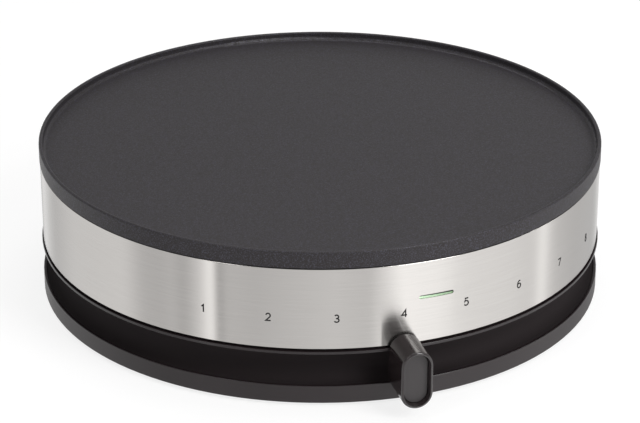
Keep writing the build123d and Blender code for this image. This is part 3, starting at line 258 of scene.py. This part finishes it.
def brushed_stainless(colours):
    """Stainless steel strip, brushed along its length and rolled into a sleeve."""
    # The lines run round the body, so each light is drawn out into an upright streak. They are about
    # 30 mm long. Real lines are about 0.05 mm apart: they are drawn 0.35 mm apart so that they show.
    material, tree = new_material("Stainless steel, brushed round")
    lines = grain(tree, 0.00035, detail=3.0, stretch=(85, 85, 1))
    return surface(
        material,
        {
            "Base Color": tint(tree, lines, colours.steel, 0.96, 1.02),
            "Metallic": 1.0,
            "Roughness": swing(tree, lines, 0.13, 0.18),
            "Anisotropic": 1.0,
            "Anisotropic Rotation": 0.25,
            "Tangent": add(tree, "ShaderNodeTangent", direction_type="RADIAL", axis="Z"),
            "Normal": add(tree, "ShaderNodeBump", {"Height": lines, "Distance": 0.0000022, "Strength": 1.0}),
        },
    )


def moulded_abs(colours):
    """ABS of the housing and the base, from a mould that is grained, polished and blasted by place."""
    # Black, with a soft sheen on the base's outer face. The ring's top edge and the lip above it are
    # polished and catch thin lines of light. The recess between them is matte, and its colour is darkened as
    # painted shade.
    material, tree = new_material("ABS, moulded satin")
    inputs = formed_skin(tree, colours.body, roughness=0.44, grit=0.0005, depth=0.000008, ior=1.5)
    place = add(tree, "ShaderNodeTexCoord").outputs["Object"]
    height = add(tree, "ShaderNodeSeparateXYZ", {"Vector": place}).outputs["Z"]
    flat = add(tree, "ShaderNodeVectorMath", {0: place, 1: (1, 1, 0)}, operation="MULTIPLY")
    reach = add(tree, "ShaderNodeVectorMath", {0: flat}, operation="LENGTH").outputs["Value"]
    polished = add(
        tree,
        "ShaderNodeMapRange",
        {"Value": height, "From Min": POLISHED_HEIGHT - 0.0001, "From Max": POLISHED_HEIGHT + 0.0001},
    )
    outside = add(
        tree,
        "ShaderNodeMapRange",
        {"Value": reach, "From Min": BLASTED_AND_SHADED_RADIUS - 0.0002, "From Max": BLASTED_AND_SHADED_RADIUS + 0.0002},
    )
    outer = {FACTOR: polished, VALUE_A: inputs["Roughness"], VALUE_B: POLISHED_ROUGHNESS}
    rough = {FACTOR: outside, VALUE_A: BLASTED_ROUGHNESS, VALUE_B: add(tree, "ShaderNodeMix", outer)}
    # Inside the radius the colour is painted shade: the plastic is drawn darker where little light falls.
    recess_painted_shade = {FACTOR: outside, COLOUR_A: rgba(colours.recess), COLOUR_B: inputs["Base Color"]}
    inputs["Roughness"] = add(tree, "ShaderNodeMix", rough)
    inputs["Base Color"] = add(tree, "ShaderNodeMix", recess_painted_shade, data_type="RGBA").outputs[COLOUR_RESULT]
    return surface(material, inputs)


def lit_polycarbonate(colours):
    """Green polycarbonate light guide, moulded clear, with the glow of the lamp behind it painted on."""
    # The lamp's glow is painted into the guide's colour and faint emission: almost white over its left
    # half, duller to the right. Under the slot's upper edge a painted shadow keeps it deep green, the more so
    # to the right.
    material, tree = new_material("Polycarbonate, moulded green, lit")
    place = add(tree, "ShaderNodeTexCoord").outputs["Object"]
    axes = add(tree, "ShaderNodeSeparateXYZ", {"Vector": place})
    middle = (LENS_LOW[2] + LENS_HIGH[2]) / 2
    along = {"Value": axes.outputs["X"], "From Min": LENS_LOW[0], "From Max": LENS_HIGH[0]}
    fade = add(tree, "ShaderNodeMapRange", along)
    # The painted shadow of the slot's upper edge reaches down to this line, which slants lower to the right.
    edge = add(tree, "ShaderNodeMapRange", {**along, "To Min": middle + 0.0004, "To Max": middle - 0.0003})
    above = add(tree, "ShaderNodeMath", {0: axes.outputs["Z"], 1: edge}, operation="SUBTRACT")
    depth = add(tree, "ShaderNodeMapRange", {"Value": above, "From Min": -0.0001, "From Max": 0.0002})
    glow = add(
        tree,
        "ShaderNodeMix",
        {FACTOR: fade, COLOUR_A: rgba(colours.lens_lit), COLOUR_B: rgba(colours.lens_dull)},
        data_type="RGBA",
    )
    green = add(
        tree,
        "ShaderNodeMix",
        {FACTOR: depth, COLOUR_A: glow.outputs[COLOUR_RESULT], COLOUR_B: rgba(colours.lens_painted_shadow)},
        data_type="RGBA",
    ).outputs[COLOUR_RESULT]
    return surface(
        material,
        {
            "Base Color": green,
            "Roughness": swing(tree, grain(tree, 0.004), 0.16, 0.26),
            "IOR": 1.58,
            "Emission Color": green,
            "Emission Strength": 0.22,
        },
    )


def lamp_glass():
    """Soda-lime glass tube of the indicator lamp, drawn and sealed."""
    # Clear, with a faint green cast from the gas behind it. Drawing leaves ripples about 3 mm long.
    material, tree = new_material("Soda-lime glass, drawn")
    return surface(
        material,
        {
            "Base Color": rgba(linear("#e4f2e6")),
            "Roughness": swing(tree, grain(tree, 0.003), 0.02, 0.08),
            "IOR": 1.52,
            "Transmission Weight": 0.9,
        },
    )


def earth_sleeve():
    """Silicone sleeve, extruded green with a yellow stripe."""
    # The two colours wind round the lead, about 4 mm a turn, and green takes a little more of it.
    material, tree = new_material("Silicone sleeve, green and yellow")
    place = add(tree, "ShaderNodeTexCoord").outputs["Object"]
    axes = add(tree, "ShaderNodeSeparateXYZ", {"Vector": place})
    slant = add(tree, "ShaderNodeMath", {0: axes.outputs["X"], 1: axes.outputs["Z"]}, operation="ADD")
    turns = add(tree, "ShaderNodeMath", {0: slant, 1: 2 * pi / 0.004}, operation="MULTIPLY")
    wave = add(tree, "ShaderNodeMath", {0: turns}, operation="SINE")
    stripe = add(tree, "ShaderNodeMapRange", {"Value": wave, "From Min": 0.1, "From Max": 0.2})
    striped = add(
        tree,
        "ShaderNodeMix",
        {FACTOR: stripe, COLOUR_A: rgba(linear("#3f8f2b")), COLOUR_B: rgba(linear("#d8c52c"))},
        data_type="RGBA",
    )
    return surface(
        material, {"Base Color": striped.outputs[COLOUR_RESULT], "Roughness": 0.5, "IOR": 1.41}
    )


def printed_ink(colours):
    """Black epoxy ink, screen printed and baked."""
    # A thin matte film: the steel's gloss stops at its edge.
    material, tree = new_material("Epoxy ink, screen printed")
    film = grain(tree, 0.0004)
    return surface(
        material,
        {
            "Base Color": tint(tree, film, colours.ink, 0.9, 1.15),
            "Roughness": swing(tree, film, 0.7, 0.85),
            "IOR": 1.5,
        },
    )


def dress(material, *names):
    """Gives CAD nodes their material."""
    for name in names:
        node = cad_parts[name]
        node.data.materials.clear()
        node.data.materials.append(material)


def four(name):
    """The names of four like nodes."""
    return [f"{name}_{number}" for number in range(1, 5)]


def arc(centre, radii, start, end, count=16):
    """Points of an elliptic arc, its angles in degrees from +x, turning the way from start to end."""
    steps = [radians(start + (end - start) * i / count) for i in range(count + 1)]
    return [(centre[0] + radii[0] * cos(a), centre[1] + radii[1] * sin(a)) for a in steps]


# Each numeral is a few pen strokes in a box one wide and one high.
NUMERALS = (
    [[(0.22, 0.76), (0.6, 1.0), (0.6, 0.0)]],
    [arc((0.48, 0.7), (0.4, 0.3), 165, -38) + [(0.06, 0.0), (0.96, 0.0)]],
    [
        arc((0.46, 0.755), (0.36, 0.245), 150, -90) + [(0.34, 0.51)],
        [(0.34, 0.51)] + arc((0.46, 0.255), (0.44, 0.255), 90, -155),
    ],
    [[(0.74, 0.0), (0.74, 1.0), (0.02, 0.28), (1.0, 0.28)]],
    [[(0.88, 1.0), (0.22, 1.0), (0.14, 0.54)] + arc((0.46, 0.325), (0.45, 0.325), 135, -150)],
    [
        arc((0.5, 0.31), (0.42, 0.31), 0, 360, 24),
        arc((0.56, 0.46), (0.48, 0.54), 62, 180) + [(0.08, 0.31)],
    ],
    [[(0.04, 1.0), (0.94, 1.0), (0.38, 0.0)]],
    [arc((0.5, 0.755), (0.34, 0.245), 0, 360, 24), arc((0.5, 0.265), (0.42, 0.265), 0, 360, 24)],
)
# The ends of a closed stroke are nearer than this.
SAME_PLACE = 1e-9
# A mitre grows with its corner until the cosine of half the turn is this.
SHARPEST_MITRE = 0.35


def ribbon(points, width):
    """The left and right edge points of a pen stroke, mitred at its corners."""
    points = [Vector(point) for point in points]
    runs = [(after - before).normalized() for before, after in zip(points, points[1:])]
    closed = (points[0] - points[-1]).length < SAME_PLACE
    first, last = (runs[-1], runs[0]) if closed else (runs[0], runs[-1])
    edges = []
    for point, arriving, leaving in zip(points, [first, *runs], [*runs, last]):
        mean = (arriving + leaving).normalized()
        side = Vector((-mean.y, mean.x))
        reach = width / 2 / max(SHARPEST_MITRE, side.dot(Vector((-arriving.y, arriving.x))))
        edges.append((point + side * reach, point - side * reach))
    return edges


def numeral_mesh(sizes):
    """The numerals as flat ribbons of ink that follow the band's face."""
    radius = BAND_RADIUS + sizes.ink_lift
    pen = sizes.numeral_stroke
    mesh = bmesh.new()
    for number, strokes in enumerate(NUMERALS):
        azimuth = (number - (len(NUMERALS) - 1) / 2) * sizes.numeral_step
        for stroke in strokes:
            points = [
                ((x - 0.5) * (sizes.numeral_width - pen), (y - 0.5) * (sizes.numeral_height - pen))
                for x, y in stroke
            ]
            edges = [
                [spot(radius, azimuth + p.x / radius, sizes.numeral_centre + p.y) for p in pair]
                for pair in ribbon(points, pen)
            ]
            verts = [[mesh.verts.new(point) for point in pair] for pair in edges]
            for (left, right), (next_left, next_right) in zip(verts, verts[1:]):
                mesh.faces.new((left, right, next_right, next_left))
    bmesh.ops.recalc_face_normals(mesh, faces=mesh.faces)
    for face in mesh.faces:
        if face.normal.dot(face.calc_center_median()) < 0:
            face.normal_flip()
    data = bpy.data.meshes.new("printed_numerals")
    mesh.to_mesh(data)
    mesh.free()
    return data


class CREPEMAKER_OT_plate(Operator):
    """Finish the baking plate"""

    bl_idname = "crepemaker.plate"
    bl_label = "Baking plate"

    def execute(self, context):
        dress(coated_cast_aluminium(context.scene.crepe_maker_colours), "griddle_plate")
        return {"FINISHED"}


class CREPEMAKER_OT_band(Operator):
    """Finish the steel band"""

    bl_idname = "crepemaker.band"
    bl_label = "Steel band"

    def execute(self, context):
        dress(brushed_stainless(context.scene.crepe_maker_colours), "steel_band")
        return {"FINISHED"}


class CREPEMAKER_OT_mouldings(Operator):
    """Finish the housing, the base and its cover"""

    bl_idname = "crepemaker.mouldings"
    bl_label = "Housing and base"

    def execute(self, context):
        colours = context.scene.crepe_maker_colours
        dress(moulded_abs(colours), "upper_housing", "base_ring")
        # The cover's mould is coarser, so the cover is duller than the base's outer face.
        cover = moulded("ABS, moulded matte", colours.cover, roughness=0.5, grit=0.0007, depth=0.00002)
        dress(cover, "bottom_cover")
        return {"FINISHED"}


class CREPEMAKER_OT_rubbers(Operator):
    """Finish the feet and the cord gland"""

    bl_idname = "crepemaker.rubbers"
    bl_label = "Feet and gland"

    def execute(self, context):
        colours = context.scene.crepe_maker_colours
        # Soft black rubber, moulded: dull all over.
        rubber = moulded("Nitrile rubber, moulded", colours.rubber, roughness=0.7, grit=0.0006, depth=0.00002)
        dress(rubber, *four("foot"), "cord_gland")
        return {"FINISHED"}


class CREPEMAKER_OT_lever(Operator):
    """Finish the lever's knob and its inset face"""

    bl_idname = "crepemaker.lever"
    bl_label = "Lever"

    def execute(self, context):
        colours = context.scene.crepe_maker_colours
        # The knob is phenolic, pressed in a polished mould: glossier than the body's outer face.
        knob = moulded(
            "Phenolic, pressed", colours.knob, roughness=0.18, grit=0.0006, depth=0.000002, ior=1.6
        )
        # Its face is a finely grained nylon inset that looks lighter.
        face = moulded(
            "Nylon, moulded fine grain", colours.face, roughness=0.5, grit=0.0004, depth=0.000008, ior=1.53
        )
        dress(knob, "lever_knob")
        dress(face, "lever_face")
        return {"FINISHED"}


class CREPEMAKER_OT_light(Operator):
    """Finish the light guide, its lamp and the lamp's holder"""

    bl_idname = "crepemaker.light"
    bl_label = "Indicator light"

    def execute(self, context):
        dress(lit_polycarbonate(context.scene.crepe_maker_colours), "indicator_lens")
        dress(lamp_glass(), "indicator_lamp")
        # Heat-resistant white nylon, moulded: creamy and satin.
        nylon = moulded(
            "Nylon, moulded white", linear("#dedbd2"), roughness=0.45, grit=0.0006, depth=0.00001, ior=1.53
        )
        dress(nylon, "lamp_holder", "terminal_block")
        return {"FINISHED"}


class CREPEMAKER_OT_numerals(Operator):
    """Print the numerals on the band"""

    bl_idname = "crepemaker.numerals"
    bl_label = "Numerals"

    def execute(self, context):
        data = numeral_mesh(context.scene.crepe_maker_sizes)
        data.materials.append(printed_ink(context.scene.crepe_maker_colours))
        numerals = bpy.data.objects.new("printed_numerals", data)
        context.scene.collection.objects.link(numerals)
        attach(numerals, "housing")
        return {"FINISHED"}


# Nodes inside that share a finish.
ZINC_PLATED = (
    *four("element_clip"), "fuse_clip", "thermostat_bracket", "lever_arm", "clip_screws",
    "reflector_screws", "plate_screws", "thermostat_screws", "arm_screws", "hub_screw", "knob_screw",
    "housing_screws", "block_screws", "lamp_holder_screws",
)
GROUND_STEEL = ("thermostat_spindle", "element_pins", "thermal_fuse")
BRASS = ("arm_hub", "spindle_bush", "thermostat_bush", "thermostat_tabs", "spade_connectors", "earth_tag")
# Colour of each plain sleeve and the leads that wear it.
SLEEVES = (
    ("brown", "#5c3420", ("supply_lead", "live_lead")),
    ("blue", "#2b4f9e", ("neutral_lead",)),
    ("white", "#d9d8d2", ("switched_lead", "lamp_lead_1", "lamp_lead_2")),
)


class CREPEMAKER_OT_inside(Operator):
    """Finish the heating, thermostat and wiring inside"""

    bl_idname = "crepemaker.inside"
    bl_label = "Inside"

    def execute(self, context):
        # Zinc-plated steel, stamped and rolled: bright, with a faint blue cast and drawing marks.
        zinc = metal("Steel, zinc plated", linear("#c3c7cb"), roughness=0.32, mark=0.0015, depth=0.00001)
        dress(zinc, *ZINC_PLATED)
        # Ground shaft and plain steel pins: smooth and bright.
        ground = metal("Steel, ground", linear("#cbc9c5"), roughness=0.2, mark=0.0008, depth=0.000003)
        dress(ground, *GROUND_STEEL)
        # Aluminised sheet, pressed: pale, with soft dapples about 6 mm across.
        sheet = metal("Steel, aluminised sheet", linear("#d2d3d3"), roughness=0.3, mark=0.006, depth=0.00004)
        dress(sheet, "heat_reflector")
        # Stainless tube that heat has tinted a dull brown grey.
        tube = metal(
            "Stainless tube, heat tinted", linear("#7a6f66"), roughness=0.42, mark=0.004, depth=0.00001
        )
        dress(tube, "heating_element")
        # Turned and stamped brass: warm, lightly marked.
        brass = metal("Brass, turned", linear("#c8a560"), roughness=0.28, mark=0.001, depth=0.000006)
        dress(brass, *BRASS)
        # Fired steatite: cream, unglazed and a little granular.
        steatite = moulded(
            "Steatite, fired", linear("#dccfb8"), roughness=0.62, grit=0.0008, depth=0.00003, ior=1.58
        )
        dress(steatite, "thermostat_body", *four("plate_spacer"))
        # Silicone sleeves, extruded: smooth and slightly waxy.
        for name, hex_colour, leads in SLEEVES:
            sleeve = moulded(
                f"Silicone sleeve, {name}",
                linear(hex_colour),
                roughness=0.48,
                grit=0.0005,
                depth=0.000006,
                ior=1.41,
            )
            dress(sleeve, *leads)
        dress(earth_sleeve(), "earth_lead")
        return {"FINISHED"}


# Two distances from the floor's middle, and the brightness that it gives off by itself at each.
NEAR, FAR = 0.6, 2.5
GLOW_NEAR, GLOW_FAR = 0.8, 1.0
# Share of the floor's colour that still takes light and shadow where the floor is seen.
SHADED_SHARE = 0.3

# Name, azimuth, elevation, distance, size and watts of each lamp, and the point that all of them face.
LAMPS = (
    ("key_lamp", 22, 40, 1.6, (0.6, 0.8), 12),
    ("left_lamp", -64.5, 45, 1.6, (0.3, 0.6), 2),
    ("strip_lamp", 78, 40, 1.6, (0.2, 0.8), 2),
    ("top_lamp", 160, 75, 1.8, (1.2, 1.2), 10),
)
LAMP_AIM = Vector((0, 0, 0.06))

# Azimuth in degrees and brightness of the panels and gaps that stand round the body, from behind it
# by its left, its front and its right to behind it again. The colour ramp takes 32 at most.
ROOM = (
    (-180.0, 1.00), (-162.5, 0.70), (-142.5, 0.97), (-108.5, 1.06), (-98.5, 0.77), (-89.5, 0.76),
    (-84.5, 0.84), (-79.1, 0.68), (-71.5, 1.08), (-67.5, 1.60), (-65.6, 1.66), (-64.4, 0.36),
    (-60.5, 0.84), (-48.5, 0.81), (-16.5, 1.00), (-2.5, 0.93), (10.5, 1.65), (19.5, 1.57),
    (25.5, 1.55), (37.5, 1.30), (61.5, 1.20), (75.5, 1.05), (78.5, 1.60), (81.0, 1.60),
    (84.5, 1.05), (89.5, 0.90), (103.5, 0.76), (121.5, 0.69), (129.5, 0.62), (145.5, 0.98),
    (169.5, 0.60), (180.0, 1.00),
)
# The ramp holds brightness as a share of this.
ROOM_PEAK = 3.0
# Share of the panels' brightness above them, and the heights between which it falls to that, as the
# sine of an elevation.
UPPER_SHARE = 0.42
FALL_LOW, FALL_HIGH = 0.1, 0.3
# Brightness of the world for light that has been scattered.
AMBIENT = 0.3


def seen_directly(tree):
    """1 for camera, glossy and transmission rays, 0 for the rest."""
    path = add(tree, "ShaderNodeLightPath").outputs
    two = add(tree, "ShaderNodeMath", {0: path["Is Camera Ray"], 1: path["Is Glossy Ray"]}, operation="ADD")
    three = {0: two, 1: path["Is Transmission Ray"]}
    return add(tree, "ShaderNodeMath", three, operation="ADD", use_clamp=True)


def matte_paper(colours):
    """Matte paper of the studio floor."""
    # It takes the body's shadow, and light of its own keeps it white where it is seen, the more so
    # away from the lamps. From below it can be seen through.
    material, tree = new_material("Paper, matte")
    place = add(tree, "ShaderNodeTexCoord").outputs["Object"]
    reach = add(tree, "ShaderNodeVectorMath", {0: place}, operation="LENGTH").outputs["Value"]
    rise = {"Value": reach, "From Min": NEAR, "From Max": FAR, "To Min": GLOW_NEAR, "To Max": GLOW_FAR}
    strength = add(tree, "ShaderNodeMapRange", rise)
    glow = add(tree, "ShaderNodeEmission", {"Color": WHITE, "Strength": strength})
    shaded = add(tree, "ShaderNodeBsdfDiffuse", {"Color": rgba(colours.floor, SHADED_SHARE)})
    seen = add(tree, "ShaderNodeAddShader", {0: shaded, 1: glow})
    unseen = add(tree, "ShaderNodeBsdfDiffuse", {"Color": rgba(colours.floor)})
    above = add(tree, "ShaderNodeMixShader", {0: seen_directly(tree), 1: unseen, 2: seen})
    below = add(tree, "ShaderNodeBsdfTransparent")
    underside = add(tree, "ShaderNodeNewGeometry").outputs["Backfacing"]
    both = add(tree, "ShaderNodeMixShader", {0: underside, 1: above, 2: below})
    add(tree, "ShaderNodeOutputMaterial", {"Surface": both})
    return material


def add_floor(scene):
    """A square floor under the body."""
    half = scene.crepe_maker_sizes.floor_width / 2
    data = bpy.data.meshes.new("studio_floor")
    outline = [(-half, -half, 0), (half, -half, 0), (half, half, 0), (-half, half, 0)]
    data.from_pydata(outline, [], [(0, 1, 2, 3)])
    data.materials.append(matte_paper(scene.crepe_maker_colours))
    floor = bpy.data.objects.new("studio_floor", data)
    floor.visible_glossy = False
    scene.collection.objects.link(floor)


def add_room(scene):
    """A world of panels and gaps round the body, which gloss shows as upright streaks."""
    world = bpy.data.worlds.new("studio")
    scene.world = world
    world.use_nodes = True
    tree = world.node_tree
    tree.nodes.clear()
    place = add(tree, "ShaderNodeTexCoord").outputs["Generated"]
    axes = add(tree, "ShaderNodeSeparateXYZ", {"Vector": place})
    front = add(tree, "ShaderNodeMath", {0: axes.outputs["Y"], 1: -1.0}, operation="MULTIPLY")
    azimuth = add(tree, "ShaderNodeMath", {0: axes.outputs["X"], 1: front}, operation="ARCTAN2")
    lap = add(tree, "ShaderNodeMapRange", {"Value": azimuth, "From Min": -pi, "From Max": pi})
    around = add(tree, "ShaderNodeValToRGB", {"Fac": lap})
    stops = around.color_ramp.elements
    while len(stops) < len(ROOM):
        stops.new(0.5)
    for stop, (degrees, brightness) in zip(stops, ROOM):
        stop.position = degrees / 360 + 0.5
        level = brightness / ROOM_PEAK
        stop.color = (level, level, level, 1.0)
    # Above the panels the room is dim, and the plate's top shows that.
    heights = {"Value": axes.outputs["Z"], "From Min": FALL_LOW, "From Max": FALL_HIGH}
    levels = {"To Min": ROOM_PEAK, "To Max": ROOM_PEAK * UPPER_SHARE}
    peak = add(tree, "ShaderNodeMapRange", {**heights, **levels})
    panels = add(tree, "ShaderNodeMath", {0: around, 1: peak}, operation="MULTIPLY")
    # The camera itself sees plain white.
    by_camera = add(tree, "ShaderNodeLightPath").outputs["Is Camera Ray"]
    shown = add(tree, "ShaderNodeMapRange", {"Value": by_camera, "To Min": panels, "To Max": 1.0})
    backdrop = add(tree, "ShaderNodeBackground", {"Color": WHITE, "Strength": shown})
    ambient = add(tree, "ShaderNodeBackground", {"Color": WHITE, "Strength": AMBIENT})
    mixed = add(tree, "ShaderNodeMixShader", {0: seen_directly(tree), 1: ambient, 2: backdrop})
    add(tree, "ShaderNodeOutputWorld", {"Surface": mixed})


def add_lamp(scene, name, azimuth, elevation, distance, size, watts):
    """A soft rectangular lamp that faces the body. Azimuth and elevation are in degrees."""
    light = bpy.data.lights.new(name, "AREA")
    light.shape = "RECTANGLE"
    light.size, light.size_y = size
    light.energy = watts
    lamp = bpy.data.objects.new(name, light)
    flat = distance * cos(radians(elevation))
    lamp.location = spot(flat, radians(azimuth), distance * sin(radians(elevation)))
    lamp.rotation_euler = (LAMP_AIM - lamp.location).to_track_quat("-Z", "Y").to_euler()
    lamp.visible_camera = False
    scene.collection.objects.link(lamp)


def add_camera(scene):
    """The camera, which looks down at the body's front from its left."""
    sizes = scene.crepe_maker_sizes
    data = bpy.data.cameras.new("camera")
    data.sensor_width = 36
    data.lens = sizes.camera_lens
    camera = bpy.data.objects.new("camera", data)
    camera.location = spot(sizes.camera_radius, sizes.camera_azimuth, sizes.camera_height)
    camera.rotation_euler = (pi / 2 - sizes.camera_pitch, 0, sizes.camera_azimuth)
    scene.collection.objects.link(camera)
    scene.camera = camera


class CREPEMAKER_OT_stage(Operator):
    """Set the floor, world, lamps and camera"""

    bl_idname = "crepemaker.stage"
    bl_label = "Studio"

    def execute(self, context):
        add_floor(context.scene)
        add_room(context.scene)
        for lamp in LAMPS:
            add_lamp(context.scene, *lamp)
        add_camera(context.scene)
        context.scene.view_settings.view_transform = "Standard"
        return {"FINISHED"}


PIECES = (
    CREPEMAKER_OT_plate,
    CREPEMAKER_OT_band,
    CREPEMAKER_OT_mouldings,
    CREPEMAKER_OT_rubbers,
    CREPEMAKER_OT_lever,
    CREPEMAKER_OT_light,
    CREPEMAKER_OT_numerals,
    CREPEMAKER_OT_inside,
    CREPEMAKER_OT_stage,
)


class CREPEMAKER_PT_pieces(Panel):
    """Lists the sizes, the colours and the pieces"""

    bl_idname = "CREPEMAKER_PT_pieces"
    bl_label = "Crepe maker"
    bl_space_type = "VIEW_3D"
    bl_region_type = "UI"
    bl_category = "Crepe maker"

    def draw(self, context):
        for group in (context.scene.crepe_maker_sizes, context.scene.crepe_maker_colours):
            box = self.layout.box()
            for name in group.__annotations__:
                box.prop(group, name)
        for piece in PIECES:
            self.layout.operator(piece.bl_idname)


CLASSES = (CrepeMakerSizes, CrepeMakerColours, *PIECES, CREPEMAKER_PT_pieces)


def register():
    for item in CLASSES:
        bpy.utils.register_class(item)
    bpy.types.Scene.crepe_maker_sizes = PointerProperty(type=CrepeMakerSizes)
    bpy.types.Scene.crepe_maker_colours = PointerProperty(type=CrepeMakerColours)


def unregister():
    del bpy.types.Scene.crepe_maker_colours
    del bpy.types.Scene.crepe_maker_sizes
    for item in reversed(CLASSES):
        bpy.utils.unregister_class(item)


def main():
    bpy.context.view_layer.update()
    register()
    for piece in PIECES:
        group, name = piece.bl_idname.split(".")
        getattr(getattr(bpy.ops, group), name)()


if __name__ == "__main__":
    main()
